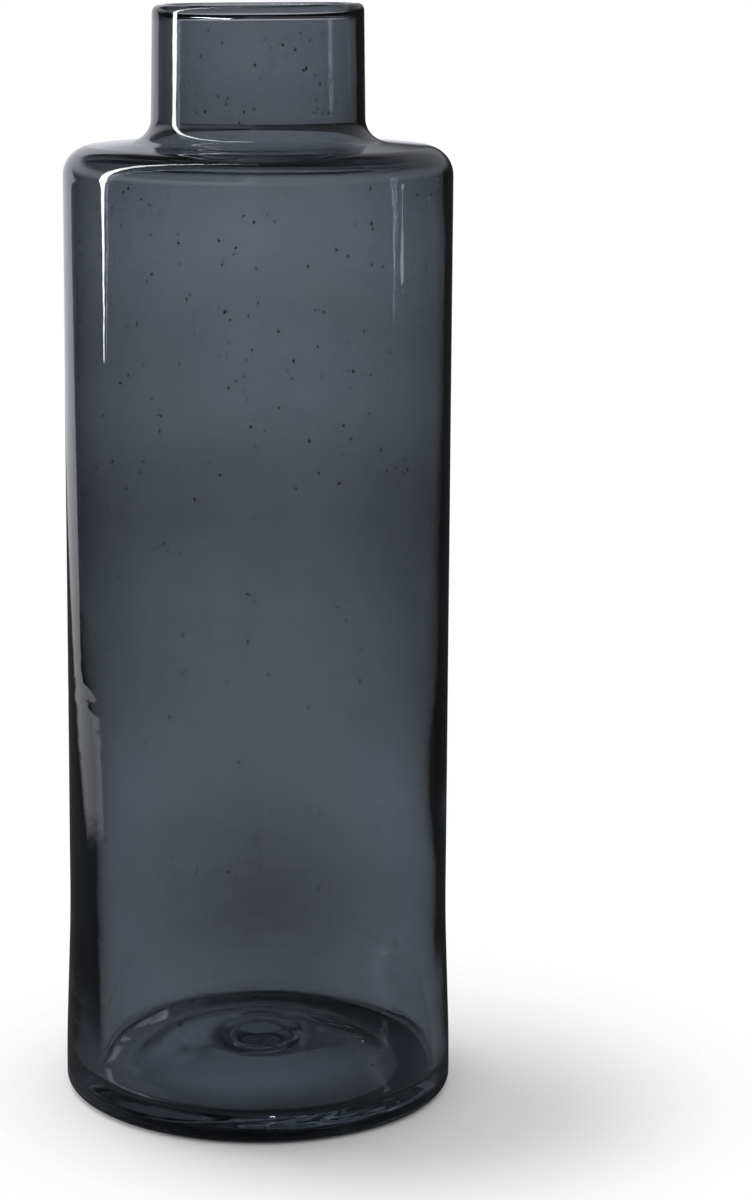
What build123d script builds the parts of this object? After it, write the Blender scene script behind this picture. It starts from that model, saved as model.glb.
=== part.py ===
from build123d import *
from math import atan2, tan
import os

# Bottle vase of clear glass with a thin smoke-grey skin on its outside, blown in one piece.
# The origin is the centre of the foot on the surface the vase stands on, +Z is up.
# All lengths are in millimetres, and all radii are measured from the vase's axis.

# Whole vase: its height, and its side wall's radius just under the shoulder
overall_height = 400.0
body_radius = 69.8

# Side wall: a cylinder that opens a little towards the foot and flares into the heel.
# It was blown thicker low down than at the shoulder.
wall_opening = 0.5
wall_top = 3.2
wall_low = 4.4
wall_low_height = 80.0
wall_round = 600.0
heel_flare = 1.9
flare_height = 50.0
flare_blend = 11.0

# Foot: rounded heel, flat standing ring, and the punt pushed up inside the ring
heel_round = 4.0
heel_band = 1.0
standing_ring_width = 18.0
punt_height = 9.0
punt_edge_round = 6.0
punt_crown_radius = 16.0
punt_crown_round = 20.0

# Pontil mark: the ground disc where the vase was held while its lip was finished
pontil_radius = 11.0
pontil_depth = 0.8
pontil_edge_round = 0.35

# Floor inside: level round its edge, rising in the middle over the punt
floor_thickness = 8.6
floor_corner_round = 4.0
floor_edge_width = 19.9
kick_height = 11.4
kick_edge_round = 30.0
kick_crown_radius = 13.0
kick_crown_round = 15.0

# Neck: a short tube, slightly narrower at the lip
neck_height = 47.9
neck_radius = 38.4
neck_taper = 0.8
neck_wall = 3.0
neck_foot_round = 8.3
neck_inner_round = 11.0

# Shoulder: almost flat, rounded at the side wall and hollowed into the neck
shoulder_rise = 3.0
shoulder_round = 10.5
shoulder_wall = 3.4
shoulder_inner_round = 7.0

# Lip: the fire-polished bead, thickened inwards
lip_outer_round = 2.6
lip_top_flat = 0.6
lip_inner_round = 2.0
lip_bead_height = 3.2
lip_blend_height = 1.8
lip_blend_round = 1.0

# Sizes that follow from the ones above
body_radius_low = body_radius + wall_opening
heel_radius = body_radius_low + heel_flare
flare_end = heel_round + heel_band + flare_blend
flare_start = flare_end + flare_height
flare_round = flare_blend / tan(atan2(heel_flare, flare_height) / 2)
neck_foot_height = overall_height - neck_height
shoulder_height = neck_foot_height - shoulder_rise
lip_radius = neck_radius - neck_taper
mouth_radius = lip_radius - lip_outer_round - lip_top_flat - lip_inner_round


def underside():
    """Corners of the underside from the axis out to the heel, each with its rounding."""
    crown = punt_height + pontil_depth
    ring_inner_radius = heel_radius - heel_round - standing_ring_width
    return [
        (0, crown, None),
        (pontil_radius, crown, pontil_edge_round),
        (pontil_radius, punt_height, pontil_edge_round),
        (punt_crown_radius, punt_height, punt_crown_round),
        (ring_inner_radius, 0, punt_edge_round),
        (heel_radius, 0, heel_round),
    ]


def outside():
    """Corners of the outer face from the heel up to the top of the lip."""
    return [
        (heel_radius, flare_end, flare_round),
        (body_radius_low, flare_start, flare_round),
        (body_radius, shoulder_height, shoulder_round),
        (neck_radius, neck_foot_height, neck_foot_round),
        (lip_radius, overall_height, lip_outer_round),
    ]


def inside():
    """Corners of the inner face from the top of the lip down to the axis."""
    bead_foot = overall_height - lip_bead_height
    blend_foot = bead_foot - lip_blend_height
    bore_radius = body_radius_low - wall_low
    crown = floor_thickness + kick_height
    return [
        (mouth_radius, overall_height, lip_inner_round),
        (mouth_radius, bead_foot, lip_blend_round),
        (lip_radius - neck_wall, blend_foot, lip_blend_round),
        (neck_radius - neck_wall, neck_foot_height - shoulder_wall, neck_inner_round),
        (body_radius - wall_top, shoulder_height - shoulder_wall, shoulder_inner_round),
        (bore_radius, wall_low_height, wall_round),
        (bore_radius, floor_thickness, floor_corner_round),
        (bore_radius - floor_edge_width, floor_thickness, kick_edge_round),
        (kick_crown_radius, crown, kick_crown_round),
        (0, crown, None),
    ]


def glass_vessel():
    """The whole vase: its section on one side of the axis, turned once round the axis."""
    corners = underside() + outside() + inside()
    points = [(radius, 0, height) for radius, height, rounding in corners]
    roundings = [rounding for radius, height, rounding in corners[1:-1]]
    section_edge = FilletPolyline(*points, radius=roundings)
    on_axis = Line(points[-1], points[0])
    section = make_face(section_edge.edges() + on_axis.edges())
    return revolve(section, Axis.Z)


os.makedirs("parts", exist_ok=True)
vessel = glass_vessel()
vessel.label = "glass_vessel"
export_step(vessel, "parts/glass_vessel.step")
box = vessel.bounding_box()
print("glass_vessel", len(vessel.solids()), "solid", round(vessel.volume), "cubic mm", box.size)
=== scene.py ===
from math import atan2, ceil, cos, exp, hypot, pi, radians, sin, tan
from random import Random

import bmesh
import bpy
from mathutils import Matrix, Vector, noise


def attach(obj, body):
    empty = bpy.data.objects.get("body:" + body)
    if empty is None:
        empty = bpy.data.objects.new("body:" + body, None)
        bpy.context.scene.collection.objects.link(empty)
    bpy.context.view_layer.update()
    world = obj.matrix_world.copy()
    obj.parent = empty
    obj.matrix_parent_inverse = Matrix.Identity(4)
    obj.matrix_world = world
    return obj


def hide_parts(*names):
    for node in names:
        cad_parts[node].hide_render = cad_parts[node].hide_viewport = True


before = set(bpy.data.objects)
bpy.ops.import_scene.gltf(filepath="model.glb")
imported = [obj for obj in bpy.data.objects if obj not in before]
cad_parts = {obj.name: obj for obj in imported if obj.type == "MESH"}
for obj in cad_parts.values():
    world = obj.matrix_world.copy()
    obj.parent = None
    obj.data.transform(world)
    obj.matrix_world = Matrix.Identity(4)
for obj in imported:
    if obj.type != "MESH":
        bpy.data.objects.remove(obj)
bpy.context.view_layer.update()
scene = bpy.context.scene

# Camera. It stands level with the lip and looks down a little, so that the lip is seen
# edge on and the floor of the vase from above. The vase stands left of the middle.
camera_distance = 1.1147
camera_height = 0.4156
camera_pitch = 11.731
camera_lens = 92.82
sensor_width = 36.0
image_height = 1200
image_middle_column = 376
axis_column = 258

camera_data = bpy.data.cameras.new("studio_camera")
camera_data.lens = camera_lens
camera_data.sensor_width = sensor_width
camera_data.shift_x = (image_middle_column - axis_column) / image_height
camera = bpy.data.objects.new("studio_camera", camera_data)
camera.location = (0.0, -camera_distance, camera_height)
camera.rotation_euler = (radians(90.0 - camera_pitch), 0.0, 0.0)
scene.collection.objects.link(camera)
scene.camera = camera

# Blown vessel. One gather of clear soda glass, blown tall and straight, then sheared and
# fire-polished at the lip. Foot, wall, shoulder, neck and lip are one piece of glass.
# The smoke grey is a thin see-through skin on the outside; inside and foot are bare.
MM = 0.001
overall_height = 400.0
body_radius = 69.8
wall_opening = 0.5
wall_top = 3.2
wall_low = 4.4
wall_low_height = 80.0
wall_round = 600.0
heel_flare = 1.9
flare_height = 50.0
flare_blend = 11.0
heel_round = 4.0
heel_band = 1.0
standing_ring_width = 18.0
punt_height = 9.0
punt_edge_round = 16.0
punt_crown_radius = 16.0
punt_crown_round = 20.0
pontil_radius = 11.0
pontil_depth = 0.3
pontil_edge_round = 0.6
floor_thickness = 8.6
floor_corner_round = 4.0
floor_edge_width = 19.9
kick_height = 11.4
kick_edge_round = 60.0
kick_crown_radius = 13.0
kick_crown_round = 15.0
neck_height = 47.9
neck_radius = 38.4
neck_taper = 0.8
neck_wall = 3.0
neck_foot_round = 8.3
neck_inner_round = 11.0
shoulder_rise = 3.0
shoulder_round = 10.5
shoulder_wall = 3.4
shoulder_inner_round = 7.0
lip_outer_round = 2.6
lip_top_flat = 0.6
lip_inner_round = 2.0
lip_bead_height = 3.2
lip_blend_height = 1.8
lip_blend_round = 1.0

body_radius_low = body_radius + wall_opening
heel_radius = body_radius_low + heel_flare
flare_end = heel_round + heel_band + flare_blend
flare_start = flare_end + flare_height
flare_round = flare_blend / tan(atan2(heel_flare, flare_height) / 2)
neck_foot_height = overall_height - neck_height
shoulder_height = neck_foot_height - shoulder_rise
lip_radius = neck_radius - neck_taper
mouth_radius = lip_radius - lip_outer_round - lip_top_flat - lip_inner_round
bore_radius = body_radius_low - wall_low
kick_crown = floor_thickness + kick_height
bead_foot = overall_height - lip_bead_height

outer_corners = [
    (0.0, punt_height + pontil_depth, 0.0),
    (pontil_radius, punt_height + pontil_depth, pontil_edge_round),
    (pontil_radius, punt_height, pontil_edge_round),
    (punt_crown_radius, punt_height, punt_crown_round),
    (heel_radius - heel_round - standing_ring_width, 0.0, punt_edge_round),
    (heel_radius, 0.0, heel_round),
    (heel_radius, flare_end, flare_round),
    (body_radius_low, flare_start, flare_round),
    (body_radius, shoulder_height, shoulder_round),
    (neck_radius, neck_foot_height, neck_foot_round),
    (lip_radius, overall_height, lip_outer_round),
]
inner_corners = [
    (mouth_radius, overall_height, lip_inner_round),
    (mouth_radius, bead_foot, lip_blend_round),
    (lip_radius - neck_wall, bead_foot - lip_blend_height, lip_blend_round),
    (neck_radius - neck_wall, neck_foot_height - shoulder_wall, neck_inner_round),
    (body_radius - wall_top, shoulder_height - shoulder_wall, shoulder_inner_round),
    (bore_radius, wall_low_height, wall_round),
    (bore_radius, floor_thickness, floor_corner_round),
    (bore_radius - floor_edge_width, floor_thickness, kick_edge_round),
    (kick_crown_radius, kick_crown, kick_crown_round),
    (0.0, kick_crown, 0.0),
]
ring_spacing = 2.0
ring_turn = radians(7.0)
segments = 240
same_point = 1e-3
shortest_run = 1e-6
axis_radius = 1e-4


def rounded_line(corners):
    """Points and outward normals along the line through the corners, rounded at each."""
    points = []

    def run(start, end):
        length = (end - start).length
        if length < shortest_run:
            return
        steps = max(1, ceil(length / ring_spacing))
        along = (end - start) / length
        for k in range(steps + 1):
            points.append((start.lerp(end, k / steps), Vector((along.y, -along.x))))

    position = [Vector((radius, height)) for radius, height, rounding in corners]
    last = position[0]
    for k in range(1, len(corners) - 1):
        before = (position[k - 1] - position[k]).normalized()
        after = (position[k + 1] - position[k]).normalized()
        opening = before.angle(after)
        rounding = corners[k][2]
        reach = rounding / tan(opening / 2)
        start = position[k] + before * reach
        end = position[k] + after * reach
        run(last, start)
        centre = position[k] + (before + after).normalized() * rounding / sin(opening / 2)
        turn = pi - opening
        steps = max(2, ceil(turn / ring_turn), ceil(turn * rounding / ring_spacing))
        spoke = start - centre
        side = 1.0 if before.cross(after) < 0 else -1.0
        for step in range(1, steps):
            swing = side * turn * step / steps
            arm = Vector((
                spoke.x * cos(swing) - spoke.y * sin(swing),
                spoke.x * sin(swing) + spoke.y * cos(swing),
            ))
            points.append((centre + arm, arm.normalized() * side))
        last = end
    run(last, position[-1])
    line = [points[0]]
    for point in points[1:]:
        if (point[0] - line[-1][0]).length > same_point:
            line.append(point)
    return line


def smooth_step(low, high, value):
    share = min(1.0, max(0.0, (value - low) / (high - low)))
    return share * share * (3.0 - 2.0 * share)


def hump(middle, width, value):
    return exp(-((value - middle) / width) ** 2)


slow_wave_size = 55.0
slow_wave_inner = 0.22
slow_wave_outer = 0.06
fine_wave_size = 13.0
fine_wave_inner = 0.03
fine_wave_outer = 0.014
wave_pull = 0.6
inner_wave_start = Vector((31.0, 7.0, 3.0))
outer_wave_start = Vector((0.0, 50.0, 90.0))
floor_wave_share = 0.35
inner_calm_heights = (16.0, 40.0)
outer_calm_heights = (6.0, 40.0)


def blown_wave(place, inner):
    """How far the hand-blown face stands out from the even one, in mm. It is calm at the foot."""
    start = inner_wave_start if inner else outer_wave_start
    stretched = Vector((place.x, place.y, place.z * wave_pull))
    slow = noise.noise(stretched / slow_wave_size + start)
    fine = noise.noise(place / fine_wave_size + start)
    if inner:
        calm = floor_wave_share + (1.0 - floor_wave_share) * smooth_step(*inner_calm_heights, place.z)
        return (slow * slow_wave_inner + fine * fine_wave_inner) * calm
    calm = smooth_step(*outer_calm_heights, place.z)
    return (slow * slow_wave_outer + fine * fine_wave_outer) * calm


left_sag = 3.4
left_sag_heights = (190.0, 105.0)
left_sag_spread = 1.3
left_thinning = 0.7
left_thin_height = 245.0
left_thin_width = 45.0
right_sag = 1.9
right_sag_height = 116.0
right_sag_width = 30.0
right_sag_spread = 2
right_thinning = 0.65
right_thin_heights = (340.0, 310.0)
sag_radii = (42.0, 60.0)


def low_gather(place):
    """Extra thickness of the wall, where the glass sagged low on the left and right, in mm."""
    bearing = atan2(place.y, place.x)
    left = max(0.0, -cos(bearing)) ** left_sag_spread
    right = max(0.0, cos(bearing)) ** right_sag_spread
    extra = -left_thinning * left * hump(left_thin_height, left_thin_width, place.z)
    extra += left_sag * left * smooth_step(*left_sag_heights, place.z)
    on_right = right_sag * hump(right_sag_height, right_sag_width, place.z)
    on_right -= right_thinning * smooth_step(*right_thin_heights, place.z)
    extra += right * on_right
    return extra * smooth_step(*sag_radii, hypot(place.x, place.y))


tear_left_shares = (0.6, 0.8)
tear_size = 7.0
tear_pull = 1.6
tear_depth = 0.06
tear_height = 158.0
tear_width = 18.0
tear_least_radius = 60.0


def torn_skin(place):
    """Small hollows in the outer face low on the left, where the skin of the gather tore."""
    left = smooth_step(*tear_left_shares, -place.x / body_radius)
    rough = noise.noise(Vector((place.x, place.y, place.z * tear_pull)) / tear_size)
    return tear_depth * rough * left * hump(tear_height, tear_width, place.z)


near_ring_depth = 0.18
near_ring_radius = 24.0
near_ring_shift = 2.0
front_ring_depth = 0.22
front_ring_radius = 34.0
front_ring_shift = 7.0
turned_ring_width = 2.0
crease_centre = Vector((27.0, 30.0, 0.0))
crease_rise = 2.4
crease_size = 9.0
crease_skew = (0.9, 1.3)
crease_spread = (14.0, 16.0)
ripple_radii = (58.0, 48.0)
ripple_top = 30.0


def floor_ripple(radius, bearing):
    """Low rings that the turning left in the floor, and creases at the back, as a rise in mm."""
    front = max(0.0, -sin(bearing))
    near_ring = near_ring_radius + near_ring_shift * cos(bearing)
    front_ring = front_ring_radius - front_ring_shift * cos(bearing)
    rise = -near_ring_depth * hump(near_ring, turned_ring_width, radius)
    rise -= front_ring_depth * hump(front_ring, turned_ring_width, radius) * front
    place = Vector((radius * cos(bearing), radius * sin(bearing), 0.0))
    skewed = Vector((place.x * crease_skew[0] + place.y * crease_skew[1], place.y - place.x, 0.0))
    fold = 0.5 - abs(noise.noise(skewed / crease_size))
    away = place - crease_centre
    near = exp(-(away.x / crease_spread[0]) ** 2 - (away.y / crease_spread[1]) ** 2)
    rise += crease_rise * fold ** 2 * near
    return rise * smooth_step(*ripple_radii, radius)


pontil_ridge = 0.45
pontil_ridge_radius = 12.0
pontil_ridge_width = 1.5
skin_foot_radius = 68.5
lip_tilt = 0.7
lip_tilt_heights = (384.0, 400.0)


def vessel_mesh():
    """The whole vessel as one closed face, with the grey skin marked on its outside."""
    section = rounded_line(outer_corners + inner_corners)
    top = max(range(len(section)), key=lambda k: section[k][0].y)
    foot = min(k for k, (point, normal) in enumerate(section) if point.x > skin_foot_radius)
    work = bmesh.new()
    grey = work.faces.layers.float.new("smoke_skin")
    rings = []
    for k, (point, normal) in enumerate(section):
        inner = k > top
        on_axis = point.x < axis_radius
        ring = []
        for step in range(1 if on_axis else segments):
            angle = 2 * pi * step / segments
            place = Vector((point.x * cos(angle), point.x * sin(angle), point.y))
            out = blown_wave(place, inner)
            inset = low_gather(place) if inner else 0.0
            if not inner and point.x > tear_least_radius:
                out += torn_skin(place)
            place += Vector((normal.x * cos(angle), normal.x * sin(angle), normal.y)) * out
            place -= Vector((cos(angle), sin(angle), 0.0)) * inset
            if inner and point.y < ripple_top and not on_axis:
                place.z += floor_ripple(point.x, angle)
            if k < foot and not on_axis:
                place.z -= pontil_ridge * hump(pontil_ridge_radius, pontil_ridge_width, point.x)
            rise = smooth_step(*lip_tilt_heights, place.z)
            place.z += lip_tilt * rise * (place.x / lip_radius - 1.0) / 2
            ring.append(work.verts.new(place * MM))
        rings.append(ring)
    for k, (lower, upper) in enumerate(zip(rings, rings[1:])):
        made = []
        for i in range(segments):
            j = (i + 1) % segments
            if len(lower) == 1:
                made.append(work.faces.new((lower[0], upper[i], upper[j])))
            elif len(upper) == 1:
                made.append(work.faces.new((lower[j], lower[i], upper[0])))
            else:
                made.append(work.faces.new((lower[i], upper[i], upper[j], lower[j])))
        for face in made:
            face[grey] = 1.0 if foot <= k < top else 0.0
    bmesh.ops.recalc_face_normals(work, faces=work.faces)
    return work


seed_count = 1200
seed_smallest = 0.16
seed_largest = 0.5
seed_size_bias = 1.5
seed_longest = 1.5
seed_depths = (0.34, 0.66)
neck_seed_share = 0.12
neck_seed_heights = (358.0, 390.0)
neck_seed_taper = 0.4
body_seed_heights = (24.0, 338.0)
wall_growth_height = 270.0
wall_opening_height = 280.0
chance = Random(4)


def add_seeds(work):
    """Small bubbles in the wall, filmed with grey: closed hollows that face their own air."""
    grey = work.faces.layers.float["smoke_skin"]
    ball = bmesh.new()
    bmesh.ops.create_icosphere(ball, subdivisions=2, radius=1.0)
    points = [vert.co.copy() for vert in ball.verts]
    triangles = [[vert.index for vert in face.verts] for face in ball.faces]
    ball.free()
    for _ in range(seed_count):
        size = seed_smallest + (seed_largest - seed_smallest) * chance.random() ** seed_size_bias
        angle = chance.uniform(0.0, 2 * pi)
        if chance.random() < neck_seed_share:
            height = chance.uniform(*neck_seed_heights)
            wall = neck_wall
            outer = neck_radius - neck_taper * neck_seed_taper
        else:
            height = chance.uniform(*body_seed_heights)
            below = shoulder_height - height
            wall = wall_top + (wall_low - wall_top) * below / wall_growth_height
            outer = body_radius + wall_opening * below / wall_opening_height
        depth = outer - wall * chance.uniform(*seed_depths)
        place = Vector((depth * cos(angle), depth * sin(angle), height))
        stretch = chance.uniform(1.0, seed_longest)
        verts = []
        for point in points:
            grown = Vector((point.x, point.y, point.z * stretch)) * size
            verts.append(work.verts.new((place + grown) * MM))
        for triangle in triangles:
            face = work.faces.new([verts[i] for i in reversed(triangle)])
            face[grey] = 1.0


vessel_work = vessel_mesh()
add_seeds(vessel_work)
vessel_data = bpy.data.meshes.new("blown_vessel")
vessel_work.to_mesh(vessel_data)
vessel_work.free()
for polygon in vessel_data.polygons:
    polygon.use_smooth = True
vessel = bpy.data.objects.new("blown_vessel", vessel_data)
scene.collection.objects.link(vessel)

glass_ior = 1.5
glass_density = 5.0
glass_tone = (0.20, 0.28, 0.36, 1.0)
bare_glass = (1.0, 1.0, 1.0, 1.0)
skin_thin = (0.150, 0.172, 0.198, 1.0)
skin_thick = (0.003, 0.004, 0.006, 1.0)
# The first two rows paint a black band round the heel, which is painted shade; the dark rows from 0.05
# to 0.22 are partly painted shade of the lower wall.
skin_bands_and_painted_shade = [
    (0.0, 1.0), (0.0135, 1.0), (0.0155, 0.14), (0.05, 0.27), (0.1, 0.58), (0.15, 0.70), (0.2, 0.66),
    (0.22, 0.59), (0.26, 0.415), (0.3, 0.31), (0.36, 0.43), (0.42, 0.37), (0.48, 0.43), (0.56, 0.545),
    (0.62, 0.33), (0.66, 0.25), (0.7, 0.335), (0.78, 0.153), (0.82, 0.21), (0.88, 0.366), (0.91, 0.385),
    (0.95, 0.285), (1.0, 0.30),
]
skin_lean = 0.023
drift_scale = 8.0
drift_detail = 2.0
band_drift = 0.035
drift_fade_in = 20.0
cloud_scale = 16.0
cloud_detail = 4.0
cloud_depth = 0.26
drag_scale = 70.0
drag_detail = 2.0
drag_squeeze = 0.06
drag_depth = 0.10
side_thinning = 0.7
side_thin_heights = (170.0, 70.0)
grain_scale = 140.0
grain_detail = 3.0
grain_strength = 0.8
grain_height = 0.03


def maths(tree, operation, *values):
    """A Math node of the tree, fed by sockets or plain numbers."""
    node = tree.nodes.new("ShaderNodeMath")
    node.operation = operation
    for k, value in enumerate(values):
        if isinstance(value, float):
            node.inputs[k].default_value = value
        else:
            tree.links.new(value, node.inputs[k])
    return node.outputs["Value"]


def level_between(tree, value, start, end, low, high):
    """A level that goes smoothly from low to high as the value passes from start to end."""
    node = tree.nodes.new("ShaderNodeMapRange")
    node.interpolation_type = "SMOOTHSTEP"
    node.inputs["From Min"].default_value = start
    node.inputs["From Max"].default_value = end
    node.inputs["To Min"].default_value = low
    node.inputs["To Max"].default_value = high
    tree.links.new(value, node.inputs["Value"])
    return node.outputs["Result"]


def glass_noise(tree, place, scale, detail):
    """An uneven level over the glass."""
    node = tree.nodes.new("ShaderNodeTexNoise")
    node.inputs["Scale"].default_value = scale
    node.inputs["Detail"].default_value = detail
    tree.links.new(place, node.inputs["Vector"])
    return node.outputs["Fac"]


glass = bpy.data.materials.new("smoke_skinned_glass")
glass.use_nodes = True
tree = glass.node_tree
tree.nodes.clear()
end = tree.nodes.new("ShaderNodeOutputMaterial")
surface = tree.nodes.new("ShaderNodeBsdfPrincipled")
surface.inputs["Transmission Weight"].default_value = 1.0
surface.inputs["IOR"].default_value = glass_ior
surface.inputs["Roughness"].default_value = 0.0
body = tree.nodes.new("ShaderNodeVolumeAbsorption")
body.inputs["Color"].default_value = glass_tone
body.inputs["Density"].default_value = glass_density
tree.links.new(surface.outputs["BSDF"], end.inputs["Surface"])
tree.links.new(body.outputs["Volume"], end.inputs["Volume"])

# The skin's depth goes in bands up the vase. The black band round the heel is painted shade,
# and the dark bands low on the wall are partly painted shade. They drift and lean, and the
# skin is cloudy, dragged out upwards, and thinner at the sides low down.
where = tree.nodes.new("ShaderNodeTexCoord")
place = where.outputs["Object"]
split = tree.nodes.new("ShaderNodeSeparateXYZ")
tree.links.new(place, split.inputs["Vector"])
level = maths(tree, "MULTIPLY_ADD", split.outputs["Y"], skin_lean, split.outputs["Z"])
drift = glass_noise(tree, place, drift_scale, drift_detail)
wander = maths(tree, "MULTIPLY_ADD", drift, band_drift, -band_drift / 2)
clear_of_foot = maths(tree, "MULTIPLY", split.outputs["Z"], drift_fade_in)
wander = maths(tree, "MULTIPLY", wander, maths(tree, "MINIMUM", clear_of_foot, 1.0))
level = maths(tree, "ADD", level, wander)
bands = tree.nodes.new("ShaderNodeValToRGB")
stops = bands.color_ramp.elements
stops.remove(stops[1])
for k, (position, depth) in enumerate(skin_bands_and_painted_shade):
    stop = stops[0] if k == 0 else stops.new(position)
    stop.position = position
    stop.color = (depth, depth, depth, 1.0)
tree.links.new(maths(tree, "DIVIDE", level, overall_height * MM), bands.inputs["Fac"])
cloud = glass_noise(tree, place, cloud_scale, cloud_detail)
patches = maths(tree, "MULTIPLY_ADD", cloud, cloud_depth, -cloud_depth / 2)
squeeze = tree.nodes.new("ShaderNodeMapping")
squeeze.inputs["Scale"].default_value = (1.0, 1.0, drag_squeeze)
tree.links.new(place, squeeze.inputs["Vector"])
drag = glass_noise(tree, squeeze.outputs["Vector"], drag_scale, drag_detail)
lines = maths(tree, "MULTIPLY_ADD", drag, drag_depth, -drag_depth / 2)
uneven = maths(tree, "ADD", patches, lines)
aside = maths(tree, "DIVIDE", split.outputs["X"], body_radius * MM)
aside = maths(tree, "MULTIPLY", aside, aside)
thin_top, thin_foot = side_thin_heights
low_down = level_between(tree, split.outputs["Z"], thin_top * MM, thin_foot * MM, 0.0, 1.0)
thinner = maths(tree, "MULTIPLY", aside, low_down)
uneven = maths(tree, "MULTIPLY_ADD", thinner, -side_thinning, uneven)
# Skin depth with painted shade: the black heel band and part of the dark low wall.
skin_depth_and_painted_shade = maths(tree, "ADD", bands.outputs["Color"], uneven)
tint = tree.nodes.new("ShaderNodeMix")
tint.data_type = "RGBA"
tint.inputs["A"].default_value = skin_thin
tint.inputs["B"].default_value = skin_thick
tree.links.new(skin_depth_and_painted_shade, tint.inputs["Factor"])

# Light that crosses the skin at a slant goes through more of it. Inside the glass the
# slant is smaller than in the air, so the side that the light comes from matters.
facing = tree.nodes.new("ShaderNodeLayerWeight")
facing.inputs["Blend"].default_value = 0.5
side = tree.nodes.new("ShaderNodeNewGeometry")
straightness = maths(tree, "SUBTRACT", 1.0, facing.outputs["Facing"])
slant = maths(tree, "SUBTRACT", 1.0, maths(tree, "MULTIPLY", straightness, straightness))
bending = 1.0 / glass_ior ** 2
bent = maths(tree, "MULTIPLY_ADD", side.outputs["Backfacing"], 1.0 - bending, bending)
slant_inside = maths(tree, "MULTIPLY", slant, bent)
crossing = maths(tree, "SQRT", maths(tree, "SUBTRACT", 1.0, slant_inside))
slanted = tree.nodes.new("ShaderNodeGamma")
tree.links.new(tint.outputs["Result"], slanted.inputs["Color"])
tree.links.new(maths(tree, "DIVIDE", 1.0, crossing), slanted.inputs["Gamma"])
skinned = tree.nodes.new("ShaderNodeAttribute")
skinned.attribute_name = "smoke_skin"
colour = tree.nodes.new("ShaderNodeMix")
colour.data_type = "RGBA"
colour.inputs["A"].default_value = bare_glass
tree.links.new(skinned.outputs["Fac"], colour.inputs["Factor"])
tree.links.new(slanted.outputs["Color"], colour.inputs["B"])
tree.links.new(colour.outputs["Result"], surface.inputs["Base Color"])

pull = tree.nodes.new("ShaderNodeBump")
pull.inputs["Strength"].default_value = grain_strength
pull.inputs["Distance"].default_value = grain_height * MM
tree.links.new(glass_noise(tree, place, grain_scale, grain_detail), pull.inputs["Height"])
tree.links.new(pull.outputs["Normal"], surface.inputs["Normal"])
vessel_data.materials.append(glass)

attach(vessel, "root")
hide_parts("glass_vessel")

# Table. A pale matt paper sheet that the vase stands on. Its edge fades into the white of
# the room. Under the foot it glows: a painted pool of light for the light the glass gathers.
table_radius = 1.2
table_segments = 96
table_colour = (0.93, 0.93, 0.94, 1.0)
table_roughness = 0.9
fade_centre = (0.035, 0.0, 0.0)
fade_radii = (0.075, 0.17)
# Painted pool of light: the table glows faintly and a little blue under the foot.
painted_glow_strength = 0.15
painted_glow_tint = (0.75, 0.87, 1.0, 1.0)
painted_glow_centre = (-0.005, 0.005, 0.0)
painted_glow_radii = (0.025, 0.058)

table_work = bmesh.new()
bmesh.ops.create_circle(table_work, cap_ends=True, segments=table_segments, radius=table_radius)
table_data = bpy.data.meshes.new("table_sheet")
table_work.to_mesh(table_data)
table_work.free()
table = bpy.data.objects.new("table_sheet", table_data)
scene.collection.objects.link(table)
paper = bpy.data.materials.new("pale_table")
paper.use_nodes = True
tree = paper.node_tree
tree.nodes.clear()
end = tree.nodes.new("ShaderNodeOutputMaterial")
matt = tree.nodes.new("ShaderNodeBsdfPrincipled")
matt.inputs["Base Color"].default_value = table_colour
matt.inputs["Roughness"].default_value = table_roughness
matt.inputs["Specular IOR Level"].default_value = 0.0
matt.inputs["Emission Color"].default_value = painted_glow_tint
clear = tree.nodes.new("ShaderNodeBsdfTransparent")
where = tree.nodes.new("ShaderNodeTexCoord")


def table_ring(centre, radii, low, high):
    """A level that goes from low to high between two distances from a point on the table."""
    reach = tree.nodes.new("ShaderNodeVectorMath")
    reach.operation = "DISTANCE"
    reach.inputs[1].default_value = centre
    tree.links.new(where.outputs["Object"], reach.inputs[0])
    return level_between(tree, reach.outputs["Value"], *radii, low, high)


path = tree.nodes.new("ShaderNodeLightPath")
shown = tree.nodes.new("ShaderNodeMixShader")
fade = table_ring(fade_centre, fade_radii, 0.0, 1.0)
fade = maths(tree, "MAXIMUM", fade, path.outputs["Is Reflection Ray"])
# Painted pool of light under the foot, as an emission on the table.
painted_glow = table_ring(painted_glow_centre, painted_glow_radii, painted_glow_strength, 0.0)
tree.links.new(painted_glow, matt.inputs["Emission Strength"])
tree.links.new(fade, shown.inputs["Fac"])
tree.links.new(matt.outputs["BSDF"], shown.inputs[1])
tree.links.new(clear.outputs["BSDF"], shown.inputs[2])
tree.links.new(shown.outputs["Shader"], end.inputs["Surface"])
table_data.materials.append(paper)

# Lamp arc. A long strip softbox that stands on the left and bends over the vase.
# It draws the bright line down the neck and shoulder. Its lower end runs out in a point.
arc_radius = 1.0
arc_centre_height = 0.38
arc_bearing = atan2(0.165, -0.986)
arc_foot_height = 0.158
arc_foot_width = 0.7
arc_width = 7.0
arc_top_width = 0.15
arc_swell = 1.5
arc_stand_steps = 8
arc_bend_steps = 18
arc_strength = 16.0


def lamp_material(name, strength):
    material = bpy.data.materials.new(name)
    material.use_nodes = True
    nodes = material.node_tree.nodes
    nodes.clear()
    glow = nodes.new("ShaderNodeEmission")
    glow.inputs["Strength"].default_value = strength
    end = nodes.new("ShaderNodeOutputMaterial")
    material.node_tree.links.new(glow.outputs["Emission"], end.inputs["Surface"])
    return material


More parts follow.
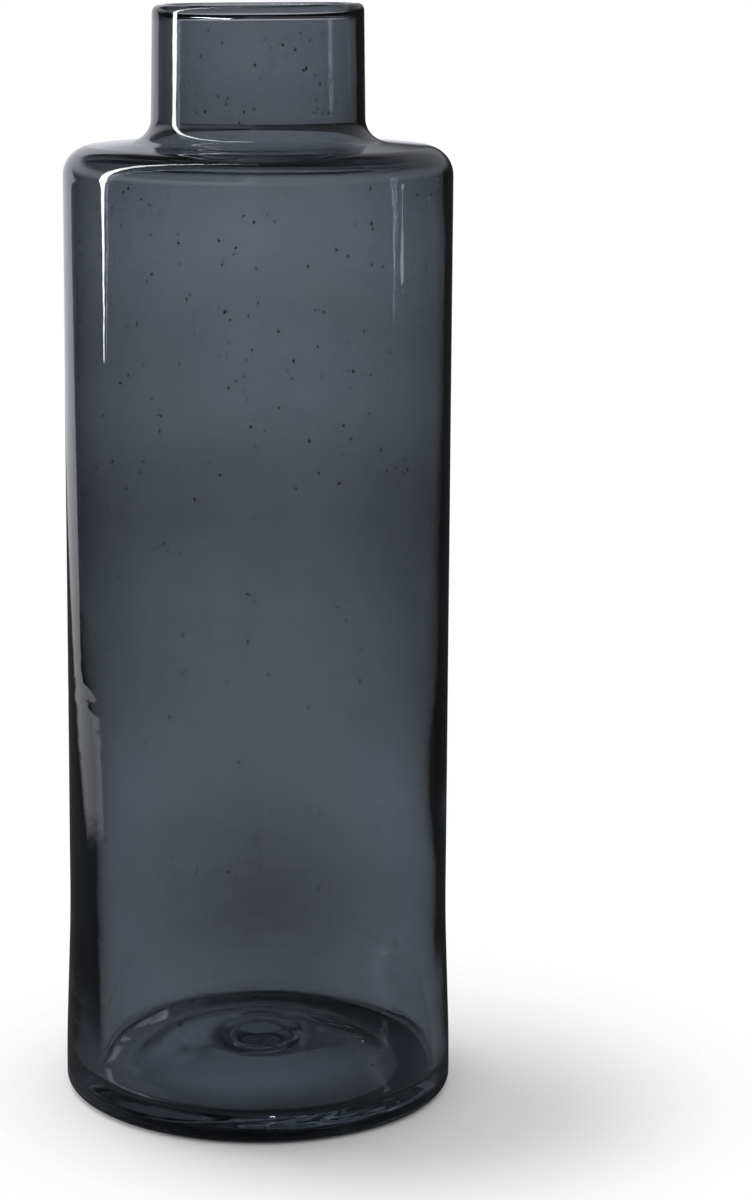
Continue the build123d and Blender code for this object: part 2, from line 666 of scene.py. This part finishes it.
def lamp_sheet(name, rows, material):
    """A softbox through rows of edge points, which shows in the glass and nowhere else."""
    work = bmesh.new()
    made = [[work.verts.new(point) for point in row] for row in rows]
    for row, after in zip(made, made[1:]):
        work.faces.new((row[0], row[1], after[1], after[0]))
    data = bpy.data.meshes.new(name)
    work.to_mesh(data)
    work.free()
    data.materials.append(material)
    sheet = bpy.data.objects.new(name, data)
    sheet.visible_camera = False
    sheet.visible_diffuse = False
    scene.collection.objects.link(sheet)


def lamp_row(middle, bearing, distance, width):
    """The two edge points of a softbox that looks this many degrees wide from the vase."""
    half = distance * tan(radians(width / 2))
    across = Vector((-sin(bearing), cos(bearing), 0.0)) * half
    return middle - across, middle + across


def arc_rows():
    toward = Vector((cos(arc_bearing), sin(arc_bearing), 0.0)) * arc_radius
    rows = []
    for k in range(arc_stand_steps + 1):
        share = k / arc_stand_steps
        height = arc_foot_height + (arc_centre_height - arc_foot_height) * share
        width = arc_foot_width + (arc_width - arc_foot_width) * share ** arc_swell
        middle = toward + Vector((0.0, 0.0, height))
        rows.append(lamp_row(middle, arc_bearing, arc_radius, width))
    for k in range(1, arc_bend_steps + 1):
        lift = radians(90.0 * k / arc_bend_steps)
        width = arc_width + (arc_top_width - arc_width) * k / arc_bend_steps
        middle = toward * cos(lift)
        middle.z = arc_centre_height + arc_radius * sin(lift)
        rows.append(lamp_row(middle, arc_bearing, arc_radius, width))
    return rows


lamp_sheet("lamp_arc", arc_rows(), lamp_material("lamp_arc_light", arc_strength))

# Side lamp. A weak narrow softbox low on the right, which draws the short pale line there.
# It is drawn in at its foot and middle, so the line is broken. Each pair is a height in
# metres and a width in degrees.
side_bearing = radians(0.2)
side_distance = 1.0
side_shape = [
    (0.205, 0.2), (0.214, 3.0), (0.232, 2.6), (0.248, 0.7), (0.266, 0.6), (0.285, 1.6), (0.318, 3.0),
]
side_strength = 2.4

side_place = Vector((cos(side_bearing), sin(side_bearing), 0.0)) * side_distance
side_rows = [
    lamp_row(side_place + Vector((0.0, 0.0, height)), side_bearing, side_distance, width)
    for height, width in side_shape
]
lamp_sheet("side_lamp", side_rows, lamp_material("side_lamp_light", side_strength))

# Key lamp. A round soft lamp high on the left behind the vase. It gives the table its soft
# shadow, and isn't seen in the glass.
key_place = Vector((-0.47, 0.30, 1.32))
key_aim = Vector((0.0, 0.0, 0.1))
key_size = 0.7
key_power = 5.8

key_data = bpy.data.lights.new("key_lamp", "AREA")
key_data.shape = "DISK"
key_data.size = key_size
key_data.energy = key_power
key = bpy.data.objects.new("key_lamp", key_data)
key.location = key_place
key.rotation_euler = (key_place - key_aim).to_track_quat("Z", "Y").to_euler()
key.visible_glossy = False
key.visible_transmission = False
scene.collection.objects.link(key)

# Room. A white wall behind the vase and a dim room round it. The camera, and light that
# goes straight through the glass, see white on every side; mirrored light sees the room.
# Each pair below is where a change starts and ends, in parts of a direction of length 1.
wall_white = 0.92
wall_turn = 0.62
wall_lean = -1.24
wall_edge = (-0.02, 0.02)
wall_foot_heights = (-0.245, -0.222)
wall_foot_width = 0.4
wall_head_heights = (-0.08, -0.04)
wall_head_width = 0.23
foot_lean = -0.21
foot_farthest_left = -0.77
foot_edge = (-0.12, -0.103)
right_lean = 0.6
right_edge = (0.06, 0.12)
room_dim = 0.06
room_right_dim = 0.03
dim_behind = (0.6, 0.75)
dim_right = (0.0, 0.12)
ceiling_left = 0.95
ceiling_right = 0.35
ceiling_turn = (-0.25, 0.08)
ceiling_start = (0.05, 0.2)
ceiling_end = (0.5, 0.75)
ceiling_end_level = 0.2
far_left_turn = (-0.2, -0.08)
far_left_heights = (0.28, 0.4)
far_left_loss = 0.95
mirrored_tint = (0.91, 0.93, 1.0, 1.0)
light_behind = 1.1
light_before = 0.6
light_turn = (-0.6, 0.6)
plain_white = (1.0, 1.0, 1.0, 1.0)
light_bounces = 24
mirror_bounces = 8

room = bpy.data.worlds.new("white_room")
room.use_nodes = True
tree = room.node_tree
tree.nodes.clear()
end = tree.nodes.new("ShaderNodeOutputWorld")
path = tree.nodes.new("ShaderNodeLightPath")
where = tree.nodes.new("ShaderNodeTexCoord")
split = tree.nodes.new("ShaderNodeSeparateXYZ")
tree.links.new(where.outputs["Generated"], split.inputs["Vector"])
across = split.outputs["X"]
back = split.outputs["Y"]
height = split.outputs["Z"]

wall_line = maths(tree, "MULTIPLY_ADD", back, wall_turn, across)
wall_line = maths(tree, "MULTIPLY_ADD", height, wall_lean, wall_line)
wall_foot = level_between(tree, height, *wall_foot_heights, wall_foot_width, 0.0)
wall_head = level_between(tree, height, *wall_head_heights, 0.0, wall_head_width)
wall_line = maths(tree, "ADD", wall_line, wall_foot)
wall_line = maths(tree, "ADD", wall_line, wall_head)
near_left = maths(tree, "MAXIMUM", across, foot_farthest_left)
foot_line = maths(tree, "MULTIPLY_ADD", near_left, foot_lean, height)
right_line = maths(tree, "MULTIPLY_ADD", maths(tree, "MAXIMUM", height, 0.0), right_lean, across)
wall_share = level_between(tree, wall_line, *wall_edge, 0.0, 1.0)
above_foot = level_between(tree, foot_line, *foot_edge, 0.0, 1.0)
left_of_end = level_between(tree, right_line, *right_edge, 1.0, 0.0)
wall_share = maths(tree, "MULTIPLY", wall_share, above_foot)
wall_share = maths(tree, "MULTIPLY", wall_share, left_of_end)
behind = level_between(tree, back, *dim_behind, 0.0, 1.0)
to_right = level_between(tree, across, *dim_right, 0.0, 1.0)
behind_right = maths(tree, "MULTIPLY", behind, to_right)
dim_level = maths(tree, "MULTIPLY_ADD", behind_right, room_right_dim - room_dim, room_dim)
wall_level = maths(tree, "MULTIPLY_ADD", wall_share, wall_white - room_dim, dim_level)

overhead = level_between(tree, height, *ceiling_start, 0.0, 1.0)
ceiling_fade = level_between(tree, height, *ceiling_end, 1.0, ceiling_end_level)
overhead = maths(tree, "MULTIPLY", overhead, ceiling_fade)
far_left = level_between(tree, across, *far_left_turn, 1.0, 0.0)
high_up = level_between(tree, height, *far_left_heights, 0.0, far_left_loss)
high_left = maths(tree, "MULTIPLY", far_left, high_up)
overhead = maths(tree, "MULTIPLY", overhead, maths(tree, "SUBTRACT", 1.0, high_left))
ceiling = level_between(tree, across, *ceiling_turn, ceiling_left, ceiling_right)
to_ceiling = maths(tree, "MULTIPLY", maths(tree, "SUBTRACT", ceiling, wall_level), overhead)
mirrored_level = maths(tree, "ADD", wall_level, to_ceiling)

seen = tree.nodes.new("ShaderNodeBackground")
seen.inputs["Color"].default_value = plain_white
mirrored = tree.nodes.new("ShaderNodeBackground")
mirrored.inputs["Color"].default_value = mirrored_tint
tree.links.new(mirrored_level, mirrored.inputs["Strength"])
lighting = tree.nodes.new("ShaderNodeBackground")
lighting.inputs["Color"].default_value = plain_white
light_level = level_between(tree, back, *light_turn, light_before, light_behind)
tree.links.new(light_level, lighting.inputs["Strength"])

unmirrored = maths(tree, "LESS_THAN", path.outputs["Glossy Depth"], 0.5)
through = maths(tree, "MULTIPLY", path.outputs["Is Transmission Ray"], unmirrored)
direct = maths(tree, "MAXIMUM", path.outputs["Is Camera Ray"], through)
glassy = maths(tree, "MAXIMUM", path.outputs["Is Glossy Ray"], path.outputs["Is Transmission Ray"])
soft = tree.nodes.new("ShaderNodeMixShader")
tree.links.new(glassy, soft.inputs["Fac"])
tree.links.new(lighting.outputs["Background"], soft.inputs[1])
tree.links.new(mirrored.outputs["Background"], soft.inputs[2])
whole = tree.nodes.new("ShaderNodeMixShader")
tree.links.new(direct, whole.inputs["Fac"])
tree.links.new(soft.outputs["Shader"], whole.inputs[1])
tree.links.new(seen.outputs["Background"], whole.inputs[2])
tree.links.new(whole.outputs["Shader"], end.inputs["Surface"])
scene.world = room

scene.view_settings.view_transform = "Standard"
scene.cycles.max_bounces = light_bounces
scene.cycles.transmission_bounces = light_bounces
scene.cycles.glossy_bounces = mirror_bounces
